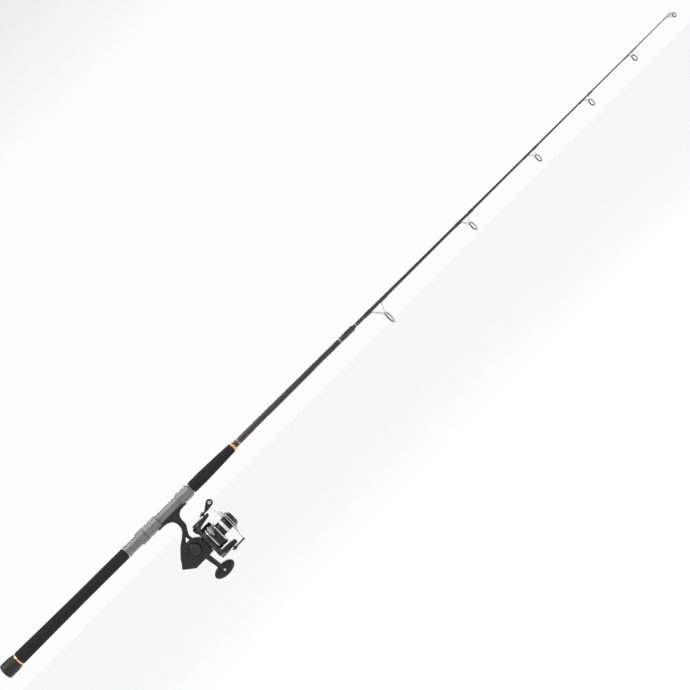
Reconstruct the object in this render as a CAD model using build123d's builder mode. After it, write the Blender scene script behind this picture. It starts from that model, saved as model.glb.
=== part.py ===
from build123d import *
import math
import os

# Two-piece spinning rod with a fixed-spool reel in its seat.
# Millimetres. The rod runs along +X from the centre of its butt end (the origin) to the tip.
# +Z is up. The reel and the line guides hang below the rod, and the crank is on the +Y side.

# ---------------------------------------------------------------- rod
GLUE_GAP = 0.04             # film of glue between a blank and what is bonded to it
RUN_GAP = 0.06              # radial clearance of a running fit
GRIP_BORE_R = 7.5           # outer radius of the butt blank under the handle
BUTT_BORE_R = 4.75
CAP_R = 16.5
CAP_END = 33.0
RING_END = 37.5
BUTT_GRIP_END = 326.0
HANDLE_END = 640.0
FERRULE_X = 1004.0
FERRULE_R = 6.1
SPIGOT_LENGTH = 60.0
SPIGOT_R = BUTT_BORE_R - RUN_GAP

# ---------------------------------------------------------------- reel seat
CRANK_X = 430.0             # crank axis of the reel, measured along the rod
SEAT_R = 12.5
SEAT_START = 328.0
SEAT_END = 506.0
FOOT_LENGTH = 78.0
FOOT_CENTRE = 13.9          # foot centre ahead of the crank axis
FOOT_HALF_WIDTH = 8.5
FOOT_TOE_HALF_WIDTH = 6.2
FOOT_TAPER = 24.0
FOOT_BOTTOM = 16.5          # below the rod axis
HOOD_R = 14.8
HOOD_LOBE_R = 12.5
HOOD_LOBE_DROP = 7.8
HOOD_MOUTH = 417.0
HOOD_LENGTH = 35.0
FRONT_HOOD_MOUTH = 476.0
FRONT_HOOD_LENGTH = 32.0
NUT_LENGTH = 19.0
THREAD_PITCH = 2.2
THREAD_DEPTH = 0.6
NUT_FLUTES = 24

# ---------------------------------------------------------------- guides
# place along the rod, outer diameter of the ring, gap from the rod axis to the ring
GUIDES = [
    (1080.0, 31.0, 25.2),
    (1371.0, 23.5, 16.4),
    (1604.0, 20.5, 13.2),
    (1802.0, 18.5, 9.6),
    (1966.0, 17.0, 7.2),
]
TIP_RING_X = 2125.0
TIP_RING_D = 13.0
TIP_RING_DROP = 9.4
TIP_TUBE_R = 2.15
# blank radius of the tip section, from the ferrule to the tip
TIP_TAPER = [
    (FERRULE_X, SPIGOT_R),
    (1110.0, 4.1),
    (1300.0, 3.45),
    (1560.0, 2.6),
    (1830.0, 1.8),
    (2119.0, 1.15),
]

# ---------------------------------------------------------------- reel
# Reel outlines are (ahead of the crank axis, above the spool axis) or (along an axis, radius).
SPOOL_Z = -104.6            # spool, rotor and main shaft axis
CRANK_RISE = 8.5            # crank axis above the spool axis
CRANK_Z = SPOOL_Z + CRANK_RISE
SHAFT_R = 3.0
STROKE = 16.0               # how far the spool travels to and fro
BODY_SIDE_Y = 17.0
COVER_Y = 13.0
WALL = 2.0
BAIL_X = 60.2               # bail pivots ahead of the crank axis
ROLLER_X = 87.0
ROLLER_RISE = 56.5
ROTOR_ARM_R = 46.0
ROTOR_NECK_R = 16.8
ROTOR_BASE_HALF_WIDTH = 25.0    # arms spread to this where they meet the cup
SPOOL_SKIRT_R = 29.0
SPOOL_LIP_R = 30.5
ARBOR_R = 15.2
CRANK_SHAFT_R = 4.0
ARM_Y = 66.8                # inner face of the crank arm
ARM_THICKNESS = 6.4
ARM_LENGTH = 80.0
ARM_TILT = 8.0              # degrees, crank arm from straight down towards the tip
KNOB_HALF_LENGTH = 26.0
KNOB_HALF_WIDTH = 14.0
KNOB_THICKNESS = 21.0

# gear teeth
DRIVE_TEETH = 45
PINION_TEETH = 8
SMALL_GEAR_TEETH = 12
LARGE_GEAR_TEETH = 24
GEAR_MODULE = 1.0

ROD_SIDE = Plane.XZ
SPOOL_AXIS = Axis((0, 0, SPOOL_Z), (1, 0, 0))
SPOOL_SIDE = Plane(origin=(CRANK_X, 0, SPOOL_Z), x_dir=(1, 0, 0), z_dir=(0, -1, 0))
CRANK_AXIS = Axis((CRANK_X, 0, CRANK_Z), (0, 1, 0))
CRANK_SIDE = Plane(origin=(CRANK_X, 0, CRANK_Z), x_dir=(0, 1, 0), z_dir=(0, 0, -1))
ROLLER_AXIS = Axis((CRANK_X + ROLLER_X, 0, SPOOL_Z + ROLLER_RISE), (0, 1, 0))
ROLLER_SIDE = Plane(
    origin=(CRANK_X + ROLLER_X, 0, SPOOL_Z + ROLLER_RISE), x_dir=(0, 1, 0), z_dir=(0, 0, -1)
)
BAIL_AXIS = Axis((CRANK_X + BAIL_X, 0, SPOOL_Z), (0, 0, 1))
BAIL_SIDE = Plane(origin=(CRANK_X + BAIL_X, 0, SPOOL_Z), x_dir=(0, 0, 1), z_dir=(0, 1, 0))
KNOB_X = CRANK_X + ARM_LENGTH * math.sin(math.radians(ARM_TILT))
KNOB_Z = CRANK_Z - ARM_LENGTH * math.cos(math.radians(ARM_TILT))
KNOB_AXIS = Axis((KNOB_X, 0, KNOB_Z), (0, 1, 0))
KNOB_SIDE = Plane(origin=(KNOB_X, 0, KNOB_Z), x_dir=(0, 1, 0), z_dir=(0, 0, -1))

os.makedirs("parts", exist_ok=True)


def outline(*corners):
    """Closed outline; a corner is (u, v), or (u, v, radius) where it is rounded."""
    points = [corner[:2] for corner in corners]
    radii = [corner[2] if len(corner) == 3 else 0 for corner in corners]
    with BuildSketch() as flat:
        with BuildLine():
            FilletPolyline(*points, radius=radii, close=True)
        make_face()
    return flat.sketch


def turned(side, axis, *corners):
    """Solid turned about an axis from an outline of (along the axis, radius) corners."""
    with BuildPart() as piece:
        with BuildSketch(side):
            add(outline(*corners))
        revolve(axis=axis)
    return piece.part


def finish(piece, name):
    """Label a finished piece and write it as its own STEP file."""
    piece.part.label = name
    export_step(piece.part, "parts/" + name + ".step")


def tip_radius(x):
    """Outer radius of the tip section at a place along the rod."""
    for (x0, r0), (x1, r1) in zip(TIP_TAPER, TIP_TAPER[1:]):
        if x <= x1:
            return r0 + (r1 - r0) * (x - x0) / (x1 - x0)
    return TIP_TAPER[-1][1]


def butt_radius(x):
    """Outer radius of the butt section at a place along the rod."""
    return GRIP_BORE_R + (FERRULE_R - GRIP_BORE_R) * max(0, x - HANDLE_END) / (FERRULE_X - HANDLE_END)


# ================================================================ rod handle
BONDED_R = GRIP_BORE_R + GLUE_GAP

with BuildPart() as butt_cap:
    add(turned(
        ROD_SIDE, Axis.X,
        (0, 0), (0, CAP_R, 4), (22, CAP_R, 6), (CAP_END, 14.4, 1),
        (CAP_END, BONDED_R), (6, BONDED_R), (6, 0),
    ))
finish(butt_cap, "butt_cap")

with BuildPart() as accent_ring:
    add(turned(
        ROD_SIDE, Axis.X,
        (CAP_END, BONDED_R), (CAP_END, 13.7, 1.2), (RING_END, 13.7, 1.2), (RING_END, BONDED_R),
    ))
finish(accent_ring, "accent_ring")

with BuildPart() as butt_grip:
    add(turned(
        ROD_SIDE, Axis.X,
        (RING_END, BONDED_R), (RING_END, 14.3, 2), (120, 13.3, 400), (205, 12.6, 400),
        (BUTT_GRIP_END, 12.6, 2), (BUTT_GRIP_END, BONDED_R),
    ))
finish(butt_grip, "butt_grip")

with BuildPart() as blank_butt:
    add(turned(
        ROD_SIDE, Axis.X,
        (6, BUTT_BORE_R), (6, GRIP_BORE_R), (HANDLE_END, GRIP_BORE_R),
        (FERRULE_X, FERRULE_R, 0.5), (FERRULE_X, BUTT_BORE_R, 0.3),
    ))
finish(blank_butt, "blank_butt")

with BuildPart() as foregrip:
    add(turned(
        ROD_SIDE, Axis.X,
        (512, BONDED_R), (512, 12.9, 2), (545, 13.4, 120), (600, 11.6, 150),
        (632, 10.1, 2), (632, BONDED_R),
    ))
finish(foregrip, "foregrip")

with BuildPart() as winding_check:
    add(turned(
        ROD_SIDE, Axis.X,
        (632, BONDED_R), (632, 9.6, 0.6), (635, 9.6, 0.6), (638, 8.2, 0.4), (638, BONDED_R),
    ))
finish(winding_check, "winding_check")

WRAP_START = 968.0
with BuildPart() as ferrule_wrap:
    add(turned(
        ROD_SIDE, Axis.X,
        (WRAP_START, butt_radius(WRAP_START) + GLUE_GAP), (WRAP_START + 4, 6.75, 2),
        (FERRULE_X - 3, 6.85, 1.2), (FERRULE_X - 0.6, 6.3, 0.1),
        (FERRULE_X - 0.6, butt_radius(FERRULE_X) + GLUE_GAP),
    ))
finish(ferrule_wrap, "ferrule_wrap")


# ================================================================ reel seat
def hood_section():
    """Round hood with a lobe below it that covers the toe of the reel foot."""
    with BuildSketch(Plane.YZ) as section:
        Circle(HOOD_R)
        with Locations((0, -HOOD_LOBE_DROP)):
            Circle(HOOD_LOBE_R)
    return section.sketch


POCKET_HALF_WIDTH = FOOT_TOE_HALF_WIDTH + 1.6
POCKET_BOTTOM = FOOT_BOTTOM + 0.4
FOOT_REAR = CRANK_X + FOOT_CENTRE - FOOT_LENGTH / 2
FOOT_FRONT = FOOT_REAR + FOOT_LENGTH

THREAD_START = 336.0
THREAD_END = CRANK_X - 2.5
thread_count = int((THREAD_END - THREAD_START) / THREAD_PITCH)
with BuildPart() as reel_seat:
    with BuildSketch(Plane.YZ.offset(FRONT_HOOD_MOUTH)):
        add(hood_section())
    extrude(amount=FRONT_HOOD_LENGTH)
    hood_rims = edges().filter_by(GeomType.CIRCLE)
    fillet(hood_rims, 1.2)
    with BuildSketch(Plane.XY.offset(-POCKET_BOTTOM)):
        with Locations(((FRONT_HOOD_MOUTH + FOOT_FRONT + 1.2) / 2, 0)):
            Rectangle(FOOT_FRONT + 1.2 - FRONT_HOOD_MOUTH, 2 * POCKET_HALF_WIDTH)
    extrude(amount=10, mode=Mode.SUBTRACT)
    with BuildSketch(ROD_SIDE):
        add(outline(
            (SEAT_START, BONDED_R), (SEAT_START, SEAT_R + 1.4, 0.8), (THREAD_START - 4, SEAT_R + 1.4, 0.8),
            (THREAD_START - 4, SEAT_R), (SEAT_END, SEAT_R), (SEAT_END + 5.5, 11.5, 0.6),
            (SEAT_END + 5.5, BONDED_R),
        ))
    revolve(axis=Axis.X)
    with BuildSketch(ROD_SIDE):
        with Locations(((SEAT_START + SEAT_END) / 2, BONDED_R / 2)):
            Rectangle(2 * (SEAT_END - SEAT_START), BONDED_R)
    revolve(axis=Axis.X, mode=Mode.SUBTRACT)
    with BuildSketch(ROD_SIDE):
        for turn in range(thread_count):
            groove_x = THREAD_END - THREAD_PITCH * (turn + 0.5)
            with Locations((groove_x, SEAT_R)):
                Rectangle(THREAD_PITCH * 0.45, 2 * THREAD_DEPTH)
    revolve(axis=Axis.X, mode=Mode.SUBTRACT)
finish(reel_seat, "reel_seat")

HOOD_START = HOOD_MOUTH - HOOD_LENGTH
with BuildPart() as seat_hood:
    with BuildSketch(Plane.YZ.offset(HOOD_START)):
        add(hood_section())
    extrude(amount=HOOD_LENGTH)
    fillet(edges().filter_by(GeomType.CIRCLE), 1.2)
    with BuildSketch(Plane.YZ.offset(HOOD_MOUTH - 4.5)):
        Circle(HOOD_R + 0.6)
    extrude(amount=3)
    with BuildSketch(Plane.YZ.offset(HOOD_START - 1)):
        Circle(SEAT_R + RUN_GAP)
    extrude(amount=HOOD_LENGTH + 2, mode=Mode.SUBTRACT)
    with BuildSketch(Plane.XY.offset(-POCKET_BOTTOM)):
        with Locations(((HOOD_MOUTH + FOOT_REAR - 0.6) / 2, 0)):
            Rectangle(HOOD_MOUTH - FOOT_REAR + 0.6, 2 * POCKET_HALF_WIDTH)
    extrude(amount=10, mode=Mode.SUBTRACT)
finish(seat_hood, "seat_hood")

NUT_START = HOOD_START - 0.3 - NUT_LENGTH
with BuildPart() as lock_nut:
    add(turned(
        ROD_SIDE, Axis.X,
        (NUT_START, SEAT_R + RUN_GAP), (NUT_START, 15.2, 1.2), (NUT_START + NUT_LENGTH, 15.2, 1.2),
        (NUT_START + NUT_LENGTH, SEAT_R + RUN_GAP),
    ))
    with BuildSketch(Plane.YZ.offset(NUT_START + 3)):
        with PolarLocations(15.6, NUT_FLUTES):
            Circle(0.9)
    extrude(amount=NUT_LENGTH - 6, mode=Mode.SUBTRACT)
finish(lock_nut, "lock_nut")

# ================================================================ tip section
with BuildPart() as blank_tip:
    add(turned(
        ROD_SIDE, Axis.X,
        (FERRULE_X - SPIGOT_LENGTH, 3.3), (FERRULE_X - SPIGOT_LENGTH, SPIGOT_R, 0.5),
        *TIP_TAPER,
        (TIP_TAPER[-1][0], 0.5), (1830, 0.8), (1300, 2.1),
    ))
finish(blank_tip, "blank_tip")

FOOT_PLATE = 0.9            # thickness of a guide's foot
guide_feet = []
for number, (guide_x, ring_d, ring_gap) in enumerate(GUIDES, start=1):
    ring_r = ring_d / 2
    drop = ring_gap + ring_r
    ring_wall = 1.4 + ring_d * 0.05
    ring_half = 0.8 + ring_d * 0.03
    wire_r = 0.55 + ring_d * 0.014
    band_r = ring_r + 0.9
    seat_r = ring_r + GLUE_GAP
    ring_axis = Axis((0, 0, -drop), (1, 0, 0))
    ring_side = Plane(origin=(guide_x, 0, -drop), x_dir=(1, 0, 0), z_dir=(0, -1, 0))
    rear_x = guide_x - 0.75 * ring_gap - 3
    front_x = guide_x + 0.3 * ring_gap + 2
    foot_length = 12 + ring_d * 0.25
    rear_blank_r = tip_radius(rear_x - foot_length) + GLUE_GAP
    front_blank_r = tip_radius(front_x) + GLUE_GAP
    leg_depth = wire_r + 0.2

    with BuildPart() as guide_ring:
        add(turned(
            ring_side, ring_axis,
            (-ring_half, ring_r - ring_wall, ring_half * 0.6), (-ring_half, ring_r, ring_half * 0.3),
            (ring_half, ring_r, ring_half * 0.3), (ring_half, ring_r - ring_wall, ring_half * 0.6),
        ))
    finish(guide_ring, "guide_ring_" + str(number))

    with BuildPart() as guide_frame:
        add(turned(
            ring_side, ring_axis,
            (-ring_half * 0.7, seat_r), (-ring_half * 0.7, band_r, 0.3),
            (ring_half * 0.7, band_r, 0.3), (ring_half * 0.7, seat_r),
        ))
        for side in (-1, 1):
            lean = math.radians(52)
            band_mid_r = band_r - 0.25
            with BuildLine() as rear_leg:
                FilletPolyline(
                    (rear_x - 2, side * 0.8, -rear_blank_r - leg_depth),
                    (rear_x + 1.5, side * 1.1, -rear_blank_r - leg_depth),
                    (guide_x, side * band_mid_r * math.sin(lean), -drop + band_mid_r * math.cos(lean)),
                    radius=2,
                )
            with BuildSketch(Plane(origin=rear_leg.line @ 0, z_dir=rear_leg.line % 0)):
                Circle(wire_r)
            sweep(path=rear_leg.line)
        with BuildLine() as front_leg:
            FilletPolyline(
                (front_x + 2, 0, -front_blank_r - leg_depth),
                (front_x - 0.5, 0, -front_blank_r - leg_depth),
                (guide_x, 0, -ring_gap + 0.25),
                radius=1.2,
            )
        with BuildSketch(Plane(origin=front_leg.line @ 0, z_dir=front_leg.line % 0)):
            Circle(wire_r)
        sweep(path=front_leg.line)
        with BuildSketch(Plane.XY.offset(-rear_blank_r)):
            with Locations((rear_x + 1 - foot_length / 2, 0)):
                RectangleRounded(foot_length, 3.4, 0.8)
        extrude(amount=-FOOT_PLATE)
        with BuildSketch(Plane.XY.offset(-front_blank_r)):
            with Locations((front_x - 1 + foot_length / 2, 0)):
                RectangleRounded(foot_length, 2.6, 0.8)
        extrude(amount=-FOOT_PLATE)
        add(turned(
            ring_side, ring_axis,
            (-2 * ring_half, 0), (-2 * ring_half, seat_r), (2 * ring_half, seat_r), (2 * ring_half, 0),
        ), mode=Mode.SUBTRACT)
    finish(guide_frame, "guide_frame_" + str(number))
    guide_feet.append((rear_x - foot_length - 3, rear_x + 2))
    guide_feet.append((front_x - 2, front_x + foot_length + 3))

# thread and varnish wound over each guide foot, which lies inside the wrap
with BuildPart() as guide_wraps:
    for start, end in guide_feet:
        bulge = 1.5 if start < 1200 else 1.25
        add(turned(
            ROD_SIDE, Axis.X,
            (start, tip_radius(start) + GLUE_GAP), (start + 3, tip_radius(start) + bulge, 2),
            (end - 3, tip_radius(end) + bulge, 2), (end, tip_radius(end) + GLUE_GAP),
        ))
finish(guide_wraps, "guide_wraps")

TIP_TUBE_START = 2096.0
TIP_TUBE_END = 2121.0
tip_r = TIP_RING_D / 2
tip_side = Plane(origin=(TIP_RING_X, 0, -TIP_RING_DROP), x_dir=(1, 0, 0), z_dir=(0, -1, 0))
tip_axis = Axis((0, 0, -TIP_RING_DROP), (1, 0, 0))
with BuildPart() as tip_top_ring:
    add(turned(
        tip_side, tip_axis,
        (-1.4, tip_r - 2.0, 0.8), (-1.4, tip_r, 0.4), (1.4, tip_r, 0.4), (1.4, tip_r - 2.0, 0.8),
    ))
finish(tip_top_ring, "tip_top_ring")

with BuildPart() as tip_top_frame:
    add(turned(
        ROD_SIDE, Axis.X,
        (TIP_TUBE_START, tip_radius(TIP_TUBE_START) + GLUE_GAP), (TIP_TUBE_START, TIP_TUBE_R, 0.4),
        (TIP_TUBE_END, TIP_TUBE_R, 0.8), (TIP_TUBE_END, 0), (TIP_TAPER[-1][0] + 0.2, 0),
        (TIP_TAPER[-1][0] + 0.2, tip_radius(TIP_TUBE_START) + GLUE_GAP),
    ))
    add(turned(
        tip_side, tip_axis,
        (-1.1, tip_r + GLUE_GAP), (-1.1, tip_r + 0.9, 0.3), (1.1, tip_r + 0.9, 0.3), (1.1, tip_r + GLUE_GAP),
    ))
    for side in (-1, 1):
        with BuildLine() as tip_leg:
            FilletPolyline(
                (TIP_TUBE_START + 6, side * 1.4, -TIP_TUBE_R),
                (TIP_TUBE_START + 11, side * 1.8, -TIP_TUBE_R - 0.3),
                (TIP_RING_X, side * (tip_r + 0.5), -TIP_RING_DROP + 0.5),
                radius=3,
            )
        with BuildSketch(Plane(origin=tip_leg.line @ 0, z_dir=tip_leg.line % 0)):
            Circle(0.75)
        sweep(path=tip_leg.line)
    with BuildLine() as tip_bridge:
        Line((TIP_TUBE_END - 1.5, 0, -1.2), (TIP_RING_X, 0, -TIP_RING_DROP + tip_r + 0.6))
    with BuildSketch(Plane(origin=tip_bridge.line @ 0, z_dir=tip_bridge.line % 0)):
        Circle(0.75)
    sweep(path=tip_bridge.line)
    add(turned(
        tip_side, tip_axis,
        (-3, 0), (-3, tip_r + GLUE_GAP), (3, tip_r + GLUE_GAP), (3, 0),
    ), mode=Mode.SUBTRACT)
finish(tip_top_frame, "tip_top_frame")

# ================================================================ reel body
HOUSING = [
    (24.5, -20.5, 1.5), (24.5, 19, 4), (14, 28.9, 3), (-19, 28.9, 5), (-33.5, 15, 14),
    (-41.5, 4.5, 12), (-47.3, -2.8, 3), (-24.9, -21, 3),
]
CAVITY = [
    (20.0, -18.0, 1.5), (20.0, 17.5, 3), (13, 26.4, 2), (-18.5, 26.4, 4), (-31.5, 13.5, 10),
    (-38.5, 3.6, 8), (-43.0, -3.0, 2), (-24.2, -18.5, 2),
]
with BuildPart() as reel_body:
    # stem and rear ridge, one casting with the housing
    with BuildSketch(SPOOL_SIDE):
        add(outline(
            (50, 88.5), (34, 87.5, 16), (23.4, 80, 16), (22.6, 58.3, 14), (16.6, 49.2, 18),
            (10.6, 37.8, 8), (12.6, 26, 4), (24.5, 18), (24.5, -20.5, 1.5), (-24.9, -21.5, 3),
            (-48.3, -2.8, 2.5), (-41.9, 5.2, 14), (-34.1, 16.9, 40), (-19.4, 32.9, 60),
            (-2.1, 45.8, 40), (6.6, 53.9, 14), (10, 62.5, 14), (9.6, 80, 16), (-6, 87.5, 16), (-22, 88.5),
            (-22, 93), (50, 93),
        ))
    extrude(amount=6.5, both=True)
    stem_edges = edges().filter_by_position(Axis.Z, SPOOL_Z + 34, SPOOL_Z + 86)
    fillet(stem_edges.filter_by(Axis.Y, reverse=True), 2.2)
    with BuildSketch(SPOOL_SIDE):
        add(outline((3.2, 40.2, 0.8), (5.0, 30.9, 0.8), (-4.6, 30.9, 0.8)))
    extrude(amount=10, both=True, mode=Mode.SUBTRACT)
    # foot, hollowed on top to sit on the seat
    with BuildSketch(Plane.XY.offset(-FOOT_BOTTOM)):
        add(outline(
            (FOOT_REAR, -FOOT_TOE_HALF_WIDTH, 3), (FOOT_REAR + FOOT_TAPER, -FOOT_HALF_WIDTH, 20),
            (FOOT_FRONT - FOOT_TAPER, -FOOT_HALF_WIDTH, 20), (FOOT_FRONT, -FOOT_TOE_HALF_WIDTH, 3),
            (FOOT_FRONT, FOOT_TOE_HALF_WIDTH, 3), (FOOT_FRONT - FOOT_TAPER, FOOT_HALF_WIDTH, 20),
            (FOOT_REAR + FOOT_TAPER, FOOT_HALF_WIDTH, 20), (FOOT_REAR, FOOT_TOE_HALF_WIDTH, 3),
        ))
    extrude(amount=7.5)
    with BuildSketch(Plane.YZ.offset(FOOT_REAR - 5)):
        Circle(SEAT_R + 0.05)
    extrude(amount=FOOT_LENGTH + 10, mode=Mode.SUBTRACT)
    # housing shell, open on the +Y side
    with BuildSketch(SPOOL_SIDE.offset(-COVER_Y)):
        add(outline(*HOUSING))
    extrude(amount=COVER_Y + BODY_SIDE_Y)
    fillet(faces().filter_by(Axis.Y).sort_by(Axis.Y)[0].edges(), 1.6)
    with BuildSketch(SPOOL_SIDE.offset(-COVER_Y)):
        add(outline(*CAVITY))
    extrude(amount=COVER_Y + BODY_SIDE_Y - WALL, mode=Mode.SUBTRACT)
    # neck that carries the clutch and goes inside the rotor
    with BuildSketch(SPOOL_SIDE):
        add(outline((21, 0), (21, 15.4, 0.5), (35.6, 15.4, 0.8), (35.6, 0)))
    revolve(axis=SPOOL_AXIS)
    with BuildSketch(SPOOL_SIDE):
        add(outline((15, 0), (15, 11.03), (26.4, 11.03), (26.4, 12.03), (37, 12.03), (37, 0)))
    revolve(axis=SPOOL_AXIS, mode=Mode.SUBTRACT)
    # boss for the far crank bearing
    with BuildSketch(CRANK_SIDE):
        add(outline((-21.5, 0), (-21.5, 13, 1.2), (-16.5, 14.5), (-15, 14.5), (-15, 0)))
    revolve(axis=CRANK_AXIS)
    with BuildSketch(CRANK_SIDE):
        add(outline((-23, 0), (-23, 6.5), (-19.6, 6.5), (-19.6, 9.03), (-14, 9.03), (-14, 0)))
    revolve(axis=CRANK_AXIS, mode=Mode.SUBTRACT)
finish(reel_body, "reel_body")

COVER_SCREWS = ((11, 24.5), (-27, 16.5), (18.5, -15))
with BuildPart() as side_cover:
    with BuildSketch(SPOOL_SIDE.offset(-BODY_SIDE_Y)):
        add(outline(*HOUSING))
    extrude(amount=BODY_SIDE_Y - COVER_Y)
    fillet(faces().filter_by(Axis.Y).sort_by(Axis.Y)[-1].edges(), 1.8)
    with BuildSketch(CRANK_SIDE):
        add(outline(
            (COVER_Y + 1, 0), (COVER_Y + 1, 19.4), (BODY_SIDE_Y, 19.4), (19.8, 18.8, 1.2),
            (20.4, 16.2, 0.5), (23.6, 15.2, 1.4), (24.4, 10.4, 0.4), (24.4, 0),
        ))
    revolve(axis=CRANK_AXIS)
    with BuildSketch(CRANK_SIDE):
        add(outline((12, 0), (12, 10.03), (20.6, 10.03), (20.6, 7.3), (26, 7.3), (26, 0)))
    revolve(axis=CRANK_AXIS, mode=Mode.SUBTRACT)
    with BuildSketch(SPOOL_SIDE):
        add(outline((20.8, 0), (20.8, 15.6), (30, 15.6), (30, 0)))
    revolve(axis=SPOOL_AXIS, mode=Mode.SUBTRACT)
    # panel lines
    with BuildSketch(SPOOL_SIDE.offset(-BODY_SIDE_Y)):
        add(outline((-21, 7.6), (-29.6, 7.6), (-32.2, 10.2), (-32.9, 9.5), (-30, 6.6), (-21, 6.6)))
        add(outline((-20, -2.6), (-34.4, -2.6), (-34.4, -1.8), (-20, -1.8)))
    extrude(amount=0.5, mode=Mode.SUBTRACT)
    # seats of the cover screws
    for screw_x, screw_z in COVER_SCREWS:
        with BuildSketch(SPOOL_SIDE.offset(-BODY_SIDE_Y)):
            with Locations((screw_x, screw_z)):
                Circle(3.05)
        extrude(amount=1.8, mode=Mode.SUBTRACT)
        with BuildSketch(SPOOL_SIDE.offset(-BODY_SIDE_Y)):
            with Locations((screw_x, screw_z)):
                Circle(1.35)
        extrude(amount=BODY_SIDE_Y - COVER_Y, mode=Mode.SUBTRACT)
finish(side_cover, "side_cover")

with BuildPart() as cover_screws:
    for screw_x, screw_z in COVER_SCREWS:
        with BuildSketch(SPOOL_SIDE.offset(-BODY_SIDE_Y + 0.3)):
            with Locations((screw_x, screw_z)):
                Circle(2.9)
        extrude(amount=1.4)
        with BuildSketch(SPOOL_SIDE.offset(-BODY_SIDE_Y + 1.7)):
            with Locations((screw_x, screw_z)):
                Circle(1.25)
        extrude(amount=2.2)
        with BuildSketch(SPOOL_SIDE.offset(-BODY_SIDE_Y + 0.3)):
            with Locations((screw_x, screw_z)):
                Rectangle(3.4, 0.8)
                Rectangle(0.8, 3.4)
        extrude(amount=0.7, mode=Mode.SUBTRACT)
finish(cover_screws, "cover_screws")

with BuildPart() as side_cap:
    add(turned(
        CRANK_SIDE, CRANK_AXIS,
        (-25, 0), (-25, 11.4, 2), (-21.6, 12.4, 0.6), (-21.6, 6.3), (-20, 6.3), (-20, 0),
    ))
finish(side_cap, "side_cap")

with BuildPart() as crank_bearings:
    add(turned(CRANK_SIDE, CRANK_AXIS, (-19.4, 4.05), (-19.4, 9.0), (-15.2, 9.0), (-15.2, 4.05)))
    add(turned(CRANK_SIDE, CRANK_AXIS, (15.4, 5.05), (15.4, 10.0), (20.4, 10.0), (20.4, 5.05)))
finish(crank_bearings, "crank_bearings")

with BuildPart() as pinion_bearing:
    add(turned(SPOOL_SIDE, SPOOL_AXIS, (21.2, 4.56), (21.2, 11.0), (26.2, 11.0), (26.2, 4.56)))
finish(pinion_bearing, "pinion_bearing")

with BuildPart() as anti_reverse_clutch:
    add(turned(SPOOL_SIDE, SPOOL_AXIS, (26.8, 4.56), (26.8, 12.0), (35.2, 12.0), (35.2, 4.56)))
finish(anti_reverse_clutch, "anti_reverse_clutch")


# ================================================================ crank and gears
def toothed_disc(plane, centre, teeth, module, thickness, phase=0.0):
    """Spur gear with straight-sided teeth that leave backlash on both flanks."""
    pitch_r = teeth * module / 2
    root_r = pitch_r - 1.25 * module
    tip_half = 0.28 * module
    root_half = 0.62 * module
    with BuildPart() as gear:
        with BuildSketch(plane):
            with Locations(centre):
                Circle(root_r + 0.05)
                with PolarLocations(0, teeth, start_angle=phase):
                    add(outline(
                        (root_r - 0.4, -root_half), (pitch_r + 0.7 * module, -tip_half),
                        (pitch_r + 0.7 * module, tip_half), (root_r - 0.4, root_half),
                    ))
        extrude(amount=thickness)
    return gear.part


GEAR_Y = -10.3              # inner face of the oscillation gears
GEAR_THICKNESS = 3.4
FACE_RING_R = 17.4
DRIVE_FACE_Y = 6.3          # face teeth end here, just clear of the pinion
with BuildPart() as drive_gear:
    add(turned(
        CRANK_SIDE, CRANK_AXIS,
        (DRIVE_FACE_Y + 1.2, 5.04), (DRIVE_FACE_Y + 1.2, FACE_RING_R, 0.2),
        (DRIVE_FACE_Y + 4.2, FACE_RING_R, 0.6), (DRIVE_FACE_Y + 4.2, 12), (DRIVE_FACE_Y + 2.8, 11),
        (DRIVE_FACE_Y + 2.8, 8), (14.6, 7), (14.6, 5.04),
    ))
    with BuildSketch(Plane(origin=(CRANK_X, DRIVE_FACE_Y, CRANK_Z), x_dir=(1, 0, 0), z_dir=(0, 1, 0))):
        with PolarLocations((FACE_RING_R + 13.2) / 2, DRIVE_TEETH):
            Rectangle(FACE_RING_R - 13.4, 1.1)
    extrude(amount=1.3)
finish(drive_gear, "drive_gear")

crank_pinion = toothed_disc(
    Plane(origin=(CRANK_X, GEAR_Y, CRANK_Z), x_dir=(1, 0, 0), z_dir=(0, -1, 0)),
    (0, 0), SMALL_GEAR_TEETH, GEAR_MODULE, GEAR_THICKNESS,
)
with BuildPart() as drive_shaft:
    add(turned(
        CRANK_SIDE, CRANK_AXIS,
        (-19.4, 0), (-19.4, CRANK_SHAFT_R), (7, CRANK_SHAFT_R), (7, 5.0), (21, 5.0), (21, 3.0),
        (34, 3.0, 0.5), (34, 0),
    ))
    add(crank_pinion)
finish(drive_shaft, "drive_shaft")

with BuildPart() as handle_shank:
    add(turned(
        CRANK_SIDE, CRANK_AXIS,
        (25.0, 3.05), (25.0, 9.5, 0.5), (27.2, 9.5, 0.5), (28.2, 7.1, 0.8), (ARM_Y - 6, 6.0, 6),
        (ARM_Y, 6.6), (ARM_Y, 0), (34.3, 0), (34.3, 3.05),
    ))
finish(handle_shank, "handle_shank")

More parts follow.
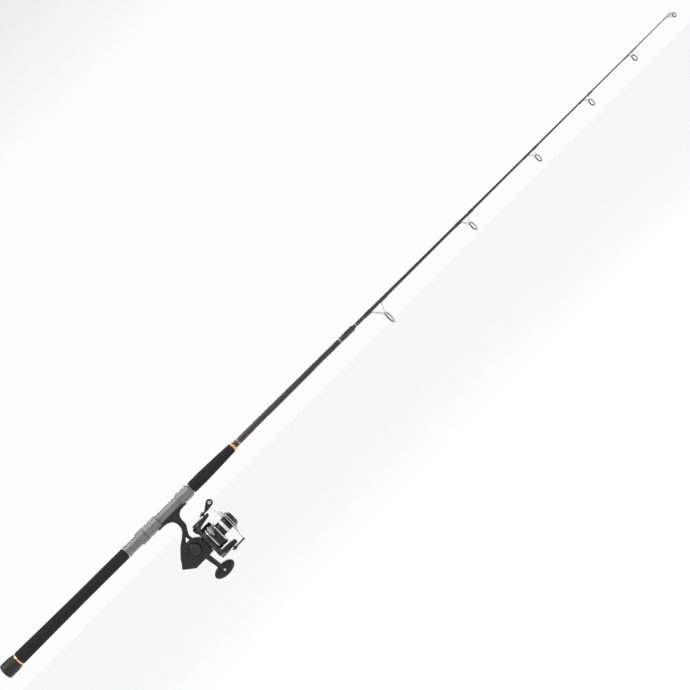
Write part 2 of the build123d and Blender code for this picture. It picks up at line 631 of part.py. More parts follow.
ARM_PLANE = Plane(origin=(CRANK_X, ARM_Y, CRANK_Z), x_dir=(1, 0, 0), z_dir=(0, -1, 0))
arm_foot = (KNOB_X - CRANK_X, KNOB_Z - CRANK_Z)
with BuildPart() as handle_arm:
    with BuildSketch(ARM_PLANE.offset(-ARM_THICKNESS)):
        with BuildLine():
            top = CenterArc((0, 0), 7.15, -ARM_TILT, 180)
            low = CenterArc(arm_foot, 4.9, 180 - ARM_TILT, 180)
            Line(top @ 0, low @ 1)
            Line(top @ 1, low @ 0)
        make_face()
    extrude(amount=ARM_THICKNESS)
    fillet(faces().filter_by(Axis.Y).sort_by(Axis.Y)[-1].edges(), 2.4)
    fillet(faces().filter_by(Axis.Y).sort_by(Axis.Y)[0].edges(), 1.0)
    with BuildSketch(ARM_PLANE.offset(-ARM_THICKNESS - 1)):
        with Locations(arm_foot):
            Circle(2.52)
    extrude(amount=ARM_THICKNESS + 2, mode=Mode.SUBTRACT)
finish(handle_arm, "handle_arm")

POST_R = 2.5
KNOB_Y = ARM_Y + ARM_THICKNESS + 3.2
with BuildPart() as knob_post:
    add(turned(
        KNOB_SIDE, KNOB_AXIS,
        (ARM_Y + 0.4, 0), (ARM_Y + 0.4, POST_R), (ARM_Y + ARM_THICKNESS + 0.05, POST_R),
        (ARM_Y + ARM_THICKNESS + 0.05, 5.2, 0.6), (KNOB_Y - 0.6, 4.2, 0.5), (KNOB_Y - 0.6, POST_R),
        (KNOB_Y + 15.5, POST_R, 0.6), (KNOB_Y + 15.5, 0),
    ))
finish(knob_post, "knob_post")

KNOB_PLANE = Plane(origin=(KNOB_X, KNOB_Y, KNOB_Z), x_dir=(1, 0, 0), z_dir=(0, 1, 0))
with BuildPart() as handle_knob:
    with BuildSketch(KNOB_PLANE):
        Ellipse(KNOB_HALF_LENGTH, KNOB_HALF_WIDTH)
    extrude(amount=KNOB_THICKNESS)
    fillet(faces().filter_by(Axis.Y).sort_by(Axis.Y)[-1].edges(), 6.8)
    fillet(faces().filter_by(Axis.Y).sort_by(Axis.Y)[0].edges(), 6.4)
    with BuildSketch(KNOB_PLANE):
        Circle(POST_R + RUN_GAP)
    extrude(amount=16.5, mode=Mode.SUBTRACT)
    with BuildSketch(KNOB_PLANE.offset(KNOB_THICKNESS - 0.9)):
        Ellipse(13.6, 5.6)
    extrude(amount=1, mode=Mode.SUBTRACT)
finish(handle_knob, "handle_knob")

with BuildPart() as knob_inlay:
    with BuildSketch(KNOB_PLANE.offset(KNOB_THICKNESS - 0.88)):
        Ellipse(13.5, 5.5)
    extrude(amount=0.7)
    with BuildSketch(KNOB_PLANE.offset(KNOB_THICKNESS - 0.88)):
        with Locations((-3, -3)):
            Circle(0.7)
    extrude(amount=1, mode=Mode.SUBTRACT)
finish(knob_inlay, "knob_inlay")

# oscillation gear: its pin stands behind the gear centre when the spool is fully back
SWING_R = STROKE / 2
gear_centre_x = -17.0
gear_distance = (SMALL_GEAR_TEETH + LARGE_GEAR_TEETH) * GEAR_MODULE / 2
gear_centre_rise = CRANK_RISE - math.sqrt(gear_distance ** 2 - gear_centre_x ** 2)
OSC_PLANE = Plane(
    origin=(CRANK_X + gear_centre_x, GEAR_Y, SPOOL_Z + gear_centre_rise),
    x_dir=(1, 0, 0), z_dir=(0, -1, 0),
)
# a gap of the large gear faces the tooth of the small one on the line of centres
centre_line = math.degrees(math.atan2(gear_centre_rise - CRANK_RISE, gear_centre_x)) % 360
small_step = 360 / SMALL_GEAR_TEETH
large_step = 360 / LARGE_GEAR_TEETH
small_offset = (centre_line / small_step) % 1.0
large_phase = (centre_line + 180 + large_step * (0.5 + small_offset)) % large_step
osc_wheel = toothed_disc(OSC_PLANE, (0, 0), LARGE_GEAR_TEETH, GEAR_MODULE, GEAR_THICKNESS, large_phase)
with BuildPart() as oscillation_gear:
    add(osc_wheel)
    with BuildSketch(OSC_PLANE):
        with Locations((-SWING_R, 0)):
            Circle(1.9)
    extrude(amount=-2.4)
    with BuildSketch(OSC_PLANE):
        Circle(2.4 + RUN_GAP)
    extrude(amount=GEAR_THICKNESS, mode=Mode.SUBTRACT)
finish(oscillation_gear, "oscillation_gear")

with BuildPart() as oscillation_post:
    with BuildSketch(OSC_PLANE):
        Circle(2.4)
    extrude(amount=BODY_SIDE_Y - WALL + GEAR_Y)
finish(oscillation_post, "oscillation_post")

# ================================================================ main shaft
SLIDER_X = gear_centre_x - SWING_R
with BuildPart() as main_shaft:
    add(turned(
        SPOOL_SIDE, SPOOL_AXIS,
        (-33, 0), (-33, SHAFT_R, 0.5), (95.5, SHAFT_R, 0.5), (95.5, 0),
    ))
finish(main_shaft, "main_shaft")

with BuildPart() as slider_block:
    with BuildSketch(SPOOL_SIDE.offset(7.5)):
        with Locations((SLIDER_X, gear_centre_rise)):
            RectangleRounded(8, 25, 1.5)
    extrude(amount=-11.9)
    with BuildSketch(SPOOL_SIDE.offset(7.5)):
        with Locations((SLIDER_X, gear_centre_rise)):
            SlotOverall(21, 4.2, rotation=90)
    extrude(amount=-3.2, mode=Mode.SUBTRACT)
    with BuildSketch(Plane.YZ.offset(CRANK_X + SLIDER_X - 6)):
        with Locations((0, SPOOL_Z)):
            Circle(SHAFT_R + GLUE_GAP)
    extrude(amount=12, mode=Mode.SUBTRACT)
finish(slider_block, "slider_block")

# ================================================================ rotor
PINION_SHANK_R = 4.5
pinion_teeth = toothed_disc(
    Plane(origin=(CRANK_X + 8, 0, SPOOL_Z), x_dir=(0, 1, 0), z_dir=(1, 0, 0)),
    (0, 0), PINION_TEETH, 1.28, 11.5, 22.5,
)
with BuildPart() as pinion:
    add(turned(
        SPOOL_SIDE, SPOOL_AXIS,
        (6, 3.4), (6, PINION_SHANK_R), (48, PINION_SHANK_R), (48, 3.4),
    ))
    add(pinion_teeth)
    with BuildSketch(Plane.YZ.offset(CRANK_X + 5)):
        with Locations((0, SPOOL_Z)):
            Circle(SHAFT_R + RUN_GAP)
    extrude(amount=45, mode=Mode.SUBTRACT)
finish(pinion, "pinion")

UPPER_ARM = [
    (27.5, 23), (23.4, 29.5, 3), (22.2, 38.5, 7), (29.5, 46.4, 11), (69.2, 46.4, 3.5), (69.2, 37.6, 4),
    (52, 34.6, 40), (37.4, 31.4, 5), (34.5, 23),
]
LOWER_ARM = [
    (27.5, -23), (25.8, -31, 5), (26.6, -42, 8), (34, -46.4, 12), (68, -46.4, 6), (72.5, -41.5, 4.5),
    (72.5, -35, 4), (60, -32.6, 20), (37.4, -31.4, 5), (34.5, -23),
]
with BuildPart() as rotor:
    with BuildSketch(SPOOL_SIDE):
        add(outline(*UPPER_ARM))
        add(outline(*LOWER_ARM))
    extrude(amount=ROTOR_BASE_HALF_WIDTH + 1, both=True)
    with BuildSketch(SPOOL_SIDE):
        add(outline((10, 0), (10, ROTOR_ARM_R - 1.6, 3), (80, ROTOR_ARM_R - 1.6, 3), (80, 0)))
    revolve(axis=SPOOL_AXIS, mode=Mode.INTERSECT)
    with BuildSketch(Plane.XY.offset(SPOOL_Z)):
        add(outline(
            (CRANK_X + 15, -ROTOR_BASE_HALF_WIDTH), (CRANK_X + 15, ROTOR_BASE_HALF_WIDTH),
            (CRANK_X + 33, ROTOR_BASE_HALF_WIDTH, 7), (CRANK_X + 46, 11.5, 22), (CRANK_X + 74, 7.5, 4),
            (CRANK_X + 74, -7.5, 4), (CRANK_X + 46, -11.5, 22), (CRANK_X + 33, -ROTOR_BASE_HALF_WIDTH, 7),
        ))
    extrude(amount=60, both=True, mode=Mode.INTERSECT)
    with BuildSketch(SPOOL_SIDE):
        add(outline(
            (25.8, ROTOR_NECK_R), (25.8, 33.0, 4.5), (36.0, 33.2, 0.6), (36.0, 30.2), (29.4, 29.8, 1),
            (29.4, 25.4), (44, 25.4, 1.2), (44, 4.53), (36.4, 4.53), (36.4, 9), (41, 9), (41, 23.4),
            (28.8, 23.4), (28.8, ROTOR_NECK_R),
        ))
    revolve(axis=SPOOL_AXIS)
    # bearing holes of the two bail pivots, and the pocket of the bail spring
    with BuildSketch(BAIL_SIDE):
        add(outline((-50, 0), (-50, 2.5), (-38, 2.5), (-38, 0)))
        add(outline((38, 0), (38, 2.5), (39.4, 2.5), (39.4, 5.6), (43, 5.6), (43, 2.5), (50, 2.5), (50, 0)))
    revolve(axis=BAIL_AXIS, mode=Mode.SUBTRACT)
finish(rotor, "rotor")

with BuildPart() as rotor_nut:
    with BuildSketch(Plane.YZ.offset(CRANK_X + 44.1)):
        with Locations((0, SPOOL_Z)):
            RegularPolygon(7.5, 6)
            Circle(PINION_SHANK_R + GLUE_GAP, mode=Mode.SUBTRACT)
    extrude(amount=3.6)
finish(rotor_nut, "rotor_nut")

with BuildPart() as cover_ring:
    with BuildSketch(SPOOL_SIDE):
        add(outline(
            (26.5, ROTOR_ARM_R - 1.55), (28, ROTOR_ARM_R, 0.8), (50.5, ROTOR_ARM_R, 0.5),
            (50.5, ROTOR_ARM_R - 1.55),
        ))
    revolve(axis=SPOOL_AXIS)
with BuildPart() as arm_covers:
    add(cover_ring.part)
    with BuildSketch(Plane.XY.offset(SPOOL_Z)):
        with Locations((CRANK_X + 38.5, 0)):
            RectangleRounded(24, 17, 3)
    extrude(amount=60, both=True, mode=Mode.INTERSECT)
finish(arm_covers, "arm_covers")

COIL_R = 4.1
COIL_WIRE_R = 0.4
with BuildPart() as bail_spring:
    with BuildLine() as coil:
        Helix(
            pitch=1.0, height=2.4, radius=COIL_R,
            center=(CRANK_X + BAIL_X, 0, SPOOL_Z + 40.0),
        )
    with BuildSketch(Plane(origin=coil.line @ 0, z_dir=coil.line % 0)):
        Circle(COIL_WIRE_R)
    sweep(path=coil.line, is_frenet=True)
finish(bail_spring, "bail_spring")

with BuildPart() as pivot_screws:
    for sign in (1, -1):
        add(turned(
            BAIL_SIDE, BAIL_AXIS,
            (sign * 43.4, 0), (sign * 43.4, 2.48), (sign * 50.7, 2.48), (sign * 50.7, 4.4, 0.3),
            (sign * 52.6, 3.9, 0.8), (sign * 52.6, 0),
        ))
        with BuildSketch(Plane.XY.offset(SPOOL_Z + sign * 52.7)):
            with Locations((CRANK_X + BAIL_X, 0)):
                Rectangle(5, 0.9)
                Rectangle(0.9, 5)
        extrude(amount=-sign * 0.9, mode=Mode.SUBTRACT)
finish(pivot_screws, "pivot_screws")

# ================================================================ bail
BAIL_PLATE_Z = 46.9
BAIL_PLATE = 3.5
LUG_Y0 = -9.4
LUG_Y1 = -4.6
with BuildPart() as bail_arm:
    with BuildSketch(Plane.XY.offset(SPOOL_Z + BAIL_PLATE_Z)):
        with Locations((CRANK_X + BAIL_X, 0)):
            Circle(7.6)
        with Locations((CRANK_X + BAIL_X + 11, -4.2)):
            Circle(5.4)
        make_hull()
    extrude(amount=BAIL_PLATE)
    with BuildSketch(Plane.XZ.offset(-LUG_Y1)):
        with Locations((CRANK_X + ROLLER_X, SPOOL_Z + ROLLER_RISE)):
            Circle(7.6)
        with Locations((CRANK_X + BAIL_X + 9, SPOOL_Z + BAIL_PLATE_Z + 2.6)):
            Circle(2.6)
        make_hull()
    extrude(amount=LUG_Y1 - LUG_Y0)
    with BuildSketch(Plane.XY.offset(SPOOL_Z + BAIL_PLATE_Z - 1)):
        with Locations((CRANK_X + BAIL_X, 0)):
            Circle(2.5 + RUN_GAP)
    extrude(amount=12, mode=Mode.SUBTRACT)
    with BuildSketch(Plane.XY.offset(SPOOL_Z + BAIL_PLATE_Z + BAIL_PLATE)):
        with Locations((CRANK_X + BAIL_X, 0)):
            Circle(5.0)
    extrude(amount=8, mode=Mode.SUBTRACT)
    with BuildSketch(Plane.XZ.offset(-LUG_Y1 - 1)):
        with Locations((CRANK_X + ROLLER_X, SPOOL_Z + ROLLER_RISE)):
            Circle(2.5)
    extrude(amount=7, mode=Mode.SUBTRACT)
finish(bail_arm, "bail_arm")

WIRE_R = 1.25
with BuildPart() as bail_wire:
    with BuildLine() as bow:
        FilletPolyline(
            (CRANK_X + 82.6, 8.5, SPOOL_Z + 60.4),
            (CRANK_X + 78.6, 36, SPOOL_Z + 54),
            (CRANK_X + 84.5, 57, SPOOL_Z + 25),
            (CRANK_X + 87.8, 60, SPOOL_Z - 8),
            (CRANK_X + 87.4, 48, SPOOL_Z - 37),
            (CRANK_X + 86.6, 22, SPOOL_Z - 47.5),
            (CRANK_X + 86.0, 3.0, SPOOL_Z - 48.6),
            radius=[9, 26, 34, 22, 20],
        )
    with BuildSketch(Plane(origin=bow.line @ 0, z_dir=bow.line % 0)):
        Circle(WIRE_R)
    sweep(path=bow.line)
    # flattened end, bolted to the lever
    with BuildSketch(Plane.YZ.offset(CRANK_X + 84.8)):
        with Locations((4.4, SPOOL_Z - 48.6)):
            Ellipse(3.0, 5.0)
    extrude(amount=2.4)
finish(bail_wire, "bail_wire")

with BuildPart() as bail_lever:
    with BuildSketch(Plane.XY.offset(SPOOL_Z - BAIL_PLATE_Z)):
        with Locations((CRANK_X + BAIL_X, 0)):
            Circle(7.2)
        with Locations((CRANK_X + 84.5, 2.4)):
            Circle(3.4)
        make_hull()
    extrude(amount=-BAIL_PLATE)
    fillet(faces().filter_by(Axis.Z).sort_by(Axis.Z)[0].edges(), 1.0)
    with BuildSketch(Plane.XY.offset(SPOOL_Z - BAIL_PLATE_Z + 1)):
        with Locations((CRANK_X + BAIL_X, 0)):
            Circle(2.5 + RUN_GAP)
    extrude(amount=-12, mode=Mode.SUBTRACT)
    add(bail_wire.part, mode=Mode.SUBTRACT)
finish(bail_lever, "bail_lever")

with BuildPart() as roller_pin:
    add(turned(
        ROLLER_SIDE, ROLLER_AXIS,
        (-11.2, 0), (-11.2, 3.6, 0.6), (LUG_Y0 - 0.02, 3.9), (LUG_Y0 - 0.02, 2.45), (9, 2.45), (9, 0),
    ))
finish(roller_pin, "roller_pin")

with BuildPart() as roller_dome:
    add(turned(
        ROLLER_SIDE, ROLLER_AXIS,
        (4.5, 2.48), (4.5, 7.0, 0.5), (7.5, 6.9, 3), (11.4, 4.6, 2.5), (12.4, 0), (9.2, 0), (9.2, 2.48),
    ))
    add(bail_wire.part, mode=Mode.SUBTRACT)
finish(roller_dome, "roller_dome")

with BuildPart() as line_roller:
    add(turned(
        ROLLER_SIDE, ROLLER_AXIS,
        (-4.2, 2.45 + RUN_GAP), (-4.2, 6.9, 0.5), (-2.8, 6.4, 0.6), (-1.0, 4.8, 1.6), (1.4, 4.9, 1.6),
        (2.8, 6.4, 0.6), (4.2, 6.9, 0.5), (4.2, 2.45 + RUN_GAP),
    ))
finish(line_roller, "line_roller")

# ================================================================ spool
DRAG_POCKET_R = 13.2
KNOB_POCKET_R = 17.8
with BuildPart() as spool:
    add(turned(
        SPOOL_SIDE, SPOOL_AXIS,
        (36.4, 27.2), (36.4, 28.3, 0.3), (38.6, SPOOL_SKIRT_R, 1), (59.2, SPOOL_SKIRT_R, 1.5),
        (61.8, 26.8, 0.8), (61.8, ARBOR_R, 1.2), (85.6, ARBOR_R, 1.2), (87.0, 19, 4),
        (88.4, SPOOL_LIP_R, 0.25), (89.2, SPOOL_LIP_R, 0.25), (91.6, 22.6, 3), (94.0, 19.8, 0.6),
        (94.0, KNOB_POCKET_R), (90.4, KNOB_POCKET_R), (90.4, DRAG_POCKET_R), (76.4, DRAG_POCKET_R),
        (76.4, SHAFT_R + RUN_GAP), (56.2, SHAFT_R + RUN_GAP), (56.2, 6.2, 0.4), (73.4, 6.2), (73.4, 13.4),
        (59.0, 13.4), (59.0, 27.2, 1),
    ))
finish(spool, "spool")

with BuildPart() as click_gear:
    with BuildSketch(Plane.YZ.offset(CRANK_X + 56.4)):
        with Locations((0, SPOOL_Z)):
            Circle(9.4)
            with PolarLocations(9.6, 30):
                Rectangle(1.6, 0.8)
            Circle(6.26, mode=Mode.SUBTRACT)
    extrude(amount=1.8)
finish(click_gear, "click_gear")

with BuildPart() as spool_band:
    add(turned(
        SPOOL_SIDE, SPOOL_AXIS,
        (71.3, ARBOR_R + 0.03), (71.3, ARBOR_R + 0.75, 0.3), (77.9, ARBOR_R + 0.75, 0.3),
        (77.9, ARBOR_R + 0.03),
    ))
finish(spool_band, "spool_band")

with BuildPart() as drag_washers:
    for layer in range(5):
        washer_x = 76.6 + layer * 2.3
        washer_r = 12.9 if layer % 2 == 0 else 12.2
        with BuildSketch(Plane.YZ.offset(CRANK_X + washer_x)):
            with Locations((0, SPOOL_Z)):
                Circle(washer_r)
                Circle(3.5, mode=Mode.SUBTRACT)
        extrude(amount=2.15 if layer % 2 == 0 else 1.6)
finish(drag_washers, "drag_washers")

# drag knob: two finger recesses leave a grip bar across the front
with BuildPart() as drag_knob:
    add(turned(
        SPOOL_SIDE, SPOOL_AXIS,
        (90.9, 7.6), (90.9, 17.3, 0.4), (94.6, 17.3), (94.6, 19.4, 0.5), (96.6, 19.2, 0.8),
        (97.4, 16.9, 0.6), (99.4, 16.4, 2), (102.6, 13.0, 2.5), (102.6, 0), (97.2, 0), (97.2, 7.6),
    ))
    with BuildSketch(Plane.YZ.offset(CRANK_X + 99.0)):
        with Locations((0, SPOOL_Z)):
            Circle(13.2)
            Rectangle(8.4, 40, mode=Mode.SUBTRACT)
    extrude(amount=5, mode=Mode.SUBTRACT)
finish(drag_knob, "drag_knob")

with BuildPart() as drag_nut:
    with BuildSketch(Plane.YZ.offset(CRANK_X + 91.2)):
        with Locations((0, SPOOL_Z)):
            RegularPolygon(7.3, 6)
            Circle(SHAFT_R + RUN_GAP, mode=Mode.SUBTRACT)
    extrude(amount=4)
finish(drag_nut, "drag_nut")
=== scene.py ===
import math

import bmesh
import bpy
from mathutils import Matrix, Vector


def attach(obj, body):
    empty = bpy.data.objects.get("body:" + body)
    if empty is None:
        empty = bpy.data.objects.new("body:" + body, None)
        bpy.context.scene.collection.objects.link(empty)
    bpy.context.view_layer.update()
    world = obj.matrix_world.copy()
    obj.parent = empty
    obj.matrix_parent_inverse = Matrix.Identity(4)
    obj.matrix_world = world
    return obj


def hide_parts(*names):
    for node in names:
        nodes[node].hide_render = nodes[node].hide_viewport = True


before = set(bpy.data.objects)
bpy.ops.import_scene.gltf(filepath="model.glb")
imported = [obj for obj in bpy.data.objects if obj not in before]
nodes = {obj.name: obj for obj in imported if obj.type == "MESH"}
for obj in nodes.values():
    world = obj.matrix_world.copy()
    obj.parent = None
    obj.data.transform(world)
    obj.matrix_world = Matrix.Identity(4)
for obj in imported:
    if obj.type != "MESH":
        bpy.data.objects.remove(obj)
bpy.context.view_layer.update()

# Lengths are in millimetres where a name or comment doesn't say otherwise, and MM makes metres of them.
MM = 0.001
SPOOL_Z = -104.6            # height of the line that spool and rotor turn about
CRANK_X = 430.0             # place of the crank's axis along the rod
BODY_SIDE = 17.0            # from the reel's middle plane out to the housing's side, and to the side cover

# the guides, as in the part: place along the rod, outer diameter of the ring, gap from rod axis to ring
GUIDES = (
    (1080.0, 31.0, 25.2),
    (1371.0, 23.5, 16.4),
    (1604.0, 20.5, 13.2),
    (1802.0, 18.5, 9.6),
    (1966.0, 17.0, 7.2),
)


# ---------- materials ----------
def shader(name, base, rough, metallic=0.0, coat=0.0, coat_rough=0.1, specular=0.5):
    """A material with one principled shader and its texture coordinates in the row frame."""
    material = bpy.data.materials.new(name)
    material.use_nodes = True
    tree = material.node_tree
    bsdf = tree.nodes["Principled BSDF"]
    bsdf.inputs["Base Color"].default_value = (*base, 1)
    bsdf.inputs["Roughness"].default_value = rough
    bsdf.inputs["Metallic"].default_value = metallic
    bsdf.inputs["Coat Weight"].default_value = coat
    bsdf.inputs["Coat Roughness"].default_value = coat_rough
    bsdf.inputs["Specular IOR Level"].default_value = specular
    coords = tree.nodes.new("ShaderNodeTexCoord")
    return material, tree, bsdf, coords.outputs["Object"]


def grain(tree, vector, size_mm, stretch=(1, 1, 1), detail=3.0):
    """Noise whose features are size_mm across, drawn out along the axes with a stretch under 1."""
    mapping = tree.nodes.new("ShaderNodeMapping")
    mapping.inputs["Scale"].default_value = tuple(1000.0 / size_mm * s for s in stretch)
    noise = tree.nodes.new("ShaderNodeTexNoise")
    noise.inputs["Scale"].default_value = 1.0
    noise.inputs["Detail"].default_value = detail
    tree.links.new(vector, mapping.inputs["Vector"])
    tree.links.new(mapping.outputs["Vector"], noise.inputs["Vector"])
    return noise.outputs["Fac"]


def ramp(tree, fac, low, high, colors):
    """fac from low to high becomes a blend between two colours."""
    node = tree.nodes.new("ShaderNodeValToRGB")
    node.color_ramp.elements[0].position = low
    node.color_ramp.elements[1].position = high
    node.color_ramp.elements[0].color = (*colors[0], 1)
    node.color_ramp.elements[1].color = (*colors[1], 1)
    tree.links.new(fac, node.inputs["Fac"])
    return node.outputs["Color"]


def spread(tree, fac, low, high):
    """fac from 0.3 to 0.7 becomes a number from low to high."""
    node = tree.nodes.new("ShaderNodeMapRange")
    node.inputs["From Min"].default_value = 0.3
    node.inputs["From Max"].default_value = 0.7
    node.inputs["To Min"].default_value = low
    node.inputs["To Max"].default_value = high
    tree.links.new(fac, node.inputs["Value"])
    return node.outputs["Result"]


def bump(tree, bsdf, height, depth_mm, strength=1.0):
    """Relief that stands depth_mm high where height is 1."""
    node = tree.nodes.new("ShaderNodeBump")
    node.inputs["Distance"].default_value = depth_mm * MM
    node.inputs["Strength"].default_value = strength
    tree.links.new(height, node.inputs["Height"])
    tree.links.new(node.outputs["Normal"], bsdf.inputs["Normal"])


def surface(name, base, dark, rough, metallic=0.0, coat=0.0, size=1.0, stretch=(1, 1, 1), depth=0.02,
            wear=8.0, coat_rough=0.1, specular=0.5):
    """Colour and roughness drift over wear mm, and a fine grain of the given size stands in the surface."""
    material, tree, bsdf, where = shader(name, base, 0.5, metallic, coat, coat_rough, specular)
    broad = grain(tree, where, wear)
    fine = grain(tree, where, size, stretch)
    half_broad = tree.nodes.new("ShaderNodeMath")
    half_broad.operation = "MULTIPLY"
    half_broad.inputs[1].default_value = 0.5
    tree.links.new(broad, half_broad.inputs[0])
    mean = tree.nodes.new("ShaderNodeMath")
    mean.operation = "MULTIPLY_ADD"
    mean.inputs[1].default_value = 0.5
    tree.links.new(fine, mean.inputs[0])
    tree.links.new(half_broad.outputs[0], mean.inputs[2])
    tree.links.new(ramp(tree, mean.outputs[0], 0.35, 0.65, (dark, base)), bsdf.inputs["Base Color"])
    tree.links.new(spread(tree, broad, rough[0], rough[1]), bsdf.inputs["Roughness"])
    bump(tree, bsdf, fine, depth)
    return material


def foam(name):
    """Soft black foam: small cells under a fine speckle."""
    material, tree, bsdf, where = shader(name, (0.01, 0.01, 0.011), 0.85, specular=0.2)
    cells = tree.nodes.new("ShaderNodeTexVoronoi")
    cells.inputs["Scale"].default_value = 900.0
    tree.links.new(where, cells.inputs["Vector"])
    speck = grain(tree, where, 0.7, detail=5.0)
    colour = ramp(tree, speck, 0.38, 0.68, ((0.004, 0.004, 0.004), (0.026, 0.026, 0.028)))
    tree.links.new(colour, bsdf.inputs["Base Color"])
    tree.links.new(spread(tree, speck, 0.72, 0.92), bsdf.inputs["Roughness"])
    bump(tree, bsdf, cells.outputs["Distance"], 0.25, 0.7)
    return material


def carbon(name):
    """Dark brown clear-coated tube over the fine ridges of its winding tape."""
    material, tree, bsdf, where = shader(name, (0.02, 0.013, 0.011), 0.3, coat=0.5, coat_rough=0.06,
                                         specular=0.3)
    wave = tree.nodes.new("ShaderNodeTexWave")
    wave.wave_type = "BANDS"
    wave.bands_direction = "X"
    wave.inputs["Scale"].default_value = 90.0
    wave.inputs["Distortion"].default_value = 1.5
    wave.inputs["Detail"].default_value = 1.0
    tree.links.new(where, wave.inputs["Vector"])
    flake = grain(tree, where, 6.0, (0.12, 1, 1))
    tree.links.new(ramp(tree, flake, 0.3, 0.7, ((0.005, 0.004, 0.004), (0.030, 0.017, 0.012))),
                   bsdf.inputs["Base Color"])
    tree.links.new(spread(tree, flake, 0.25, 0.45), bsdf.inputs["Roughness"])
    bump(tree, bsdf, wave.outputs["Fac"], 0.03, 0.35)
    return material


def turned_metal(name, base, dark, rough, around, metallic=1.0):
    """Lathe-turned metal: fine rings about the axis named by around."""
    stretch = {"X": (1, 0.02, 0.02), "Y": (0.02, 1, 0.02)}[around]
    return surface(name, base, dark, rough, metallic, size=0.35, stretch=stretch, depth=0.012, wear=14.0)


mats = {
    "foam": foam("eva_foam"),
    "rubber": surface("cap_rubber", (0.012, 0.012, 0.013), (0.006, 0.006, 0.006), (0.38, 0.55), size=0.5,
                      depth=0.05, specular=0.35),
    "copper": turned_metal("copper_trim", (0.86, 0.40, 0.22), (0.66, 0.26, 0.13), (0.12, 0.24), "X"),
    "blank": carbon("blank_gloss"),
    "wrap": surface("wrap_varnish", (0.009, 0.008, 0.008), (0.004, 0.004, 0.004), (0.25, 0.4), coat=0.8,
                    coat_rough=0.04, size=0.3, stretch=(1, 0.08, 0.08), depth=0.03, specular=0.3),
    "seat": surface("seat_grey", (0.165, 0.165, 0.168), (0.130, 0.130, 0.133), (0.28, 0.42), 0.4, size=0.4,
                    depth=0.015, coat=0.2),
    "steel": surface("guide_steel", (0.56, 0.56, 0.58), (0.42, 0.42, 0.44), (0.10, 0.24), 1.0, size=0.5,
                     stretch=(0.2, 1, 1), depth=0.008),
    "ceramic": surface("guide_ceramic", (0.015, 0.015, 0.017), (0.008, 0.008, 0.009), (0.06, 0.14), coat=0.7,
                       size=1.5, depth=0.004),
    "graphite": surface("reel_black", (0.007, 0.007, 0.008), (0.003, 0.003, 0.003), (0.20, 0.33), coat=0.10,
                        coat_rough=0.15, size=0.45, depth=0.02, specular=0.35),
    "gloss": surface("reel_gloss", (0.007, 0.007, 0.008), (0.003, 0.003, 0.003), (0.12, 0.22), coat=0.35,
                     coat_rough=0.08, size=0.5, depth=0.006, specular=0.35),
    # gunmetal of the arm covers and of the bar on the side cover; on the rotor rims this lighter colour is a
    # painted highlight
    "gunmetal_and_painted_highlight": surface("gunmetal_and_painted_highlight", (0.075, 0.077, 0.082), (0.045, 0.046, 0.05), (0.24, 0.38), 0.85,
                        size=0.35, stretch=(0.12, 1, 1), depth=0.01),
    "arm": surface("handle_grey", (0.024, 0.0245, 0.026), (0.017, 0.0175, 0.019), (0.24, 0.34), 0.3,
                   coat=0.15, size=0.4, depth=0.01, specular=0.35),
    "knob": surface("knob_rubber", (0.016, 0.016, 0.017), (0.008, 0.008, 0.009), (0.36, 0.52), size=0.35,
                    depth=0.04, specular=0.35),
    "inlay": surface("knob_inlay", (0.014, 0.014, 0.015), (0.007, 0.007, 0.008), (0.24, 0.36), size=0.5,
                     depth=0.015, specular=0.4),
    "spool": turned_metal("spool_anodised", (0.016, 0.014, 0.016), (0.008, 0.007, 0.008), (0.12, 0.24), "X",
                          0.5),
    "bright": turned_metal("bright_cut", (0.80, 0.80, 0.82), (0.62, 0.62, 0.64), (0.10, 0.22), "X"),
    "chrome": surface("bright_steel", (0.62, 0.62, 0.64), (0.50, 0.50, 0.52), (0.08, 0.2), 1.0, size=0.6,
                      depth=0.004),
    "screw": turned_metal("dark_screw", (0.13, 0.12, 0.11), (0.07, 0.065, 0.06), (0.2, 0.36), "Y"),
    "gear": surface("gear_metal", (0.50, 0.50, 0.52), (0.34, 0.34, 0.36), (0.28, 0.44), 1.0, size=0.5,
                    depth=0.02),
    "brass": surface("brass", (0.78, 0.58, 0.26), (0.55, 0.38, 0.15), (0.16, 0.3), 1.0, size=0.5, depth=0.01),
    "band": surface("band_white", (0.80, 0.80, 0.78), (0.68, 0.68, 0.66), (0.4, 0.55), size=0.6, depth=0.03),
    "felt": surface("washer_felt", (0.33, 0.30, 0.25), (0.2, 0.18, 0.15), (0.8, 0.95), size=0.5, depth=0.15),
    "click": surface("click_plastic", (0.07, 0.07, 0.07), (0.04, 0.04, 0.04), (0.4, 0.55), size=0.7,
                     depth=0.02),
    "silver_line": surface("silver_thread", (0.70, 0.70, 0.72), (0.5, 0.5, 0.52), (0.2, 0.35), 0.9, coat=1.0,
                           size=0.25, stretch=(1, 0.05, 0.05), depth=0.03),
    "rose_line": surface("rose_thread", (0.62, 0.30, 0.26), (0.42, 0.18, 0.16), (0.2, 0.35), 0.8, coat=1.0,
                         size=0.25, stretch=(1, 0.05, 0.05), depth=0.03),
    "print": surface("printed_bars", (0.46, 0.45, 0.44), (0.34, 0.33, 0.33), (0.3, 0.45), 0.4, coat=0.8,
                     size=0.3, depth=0.006),
}
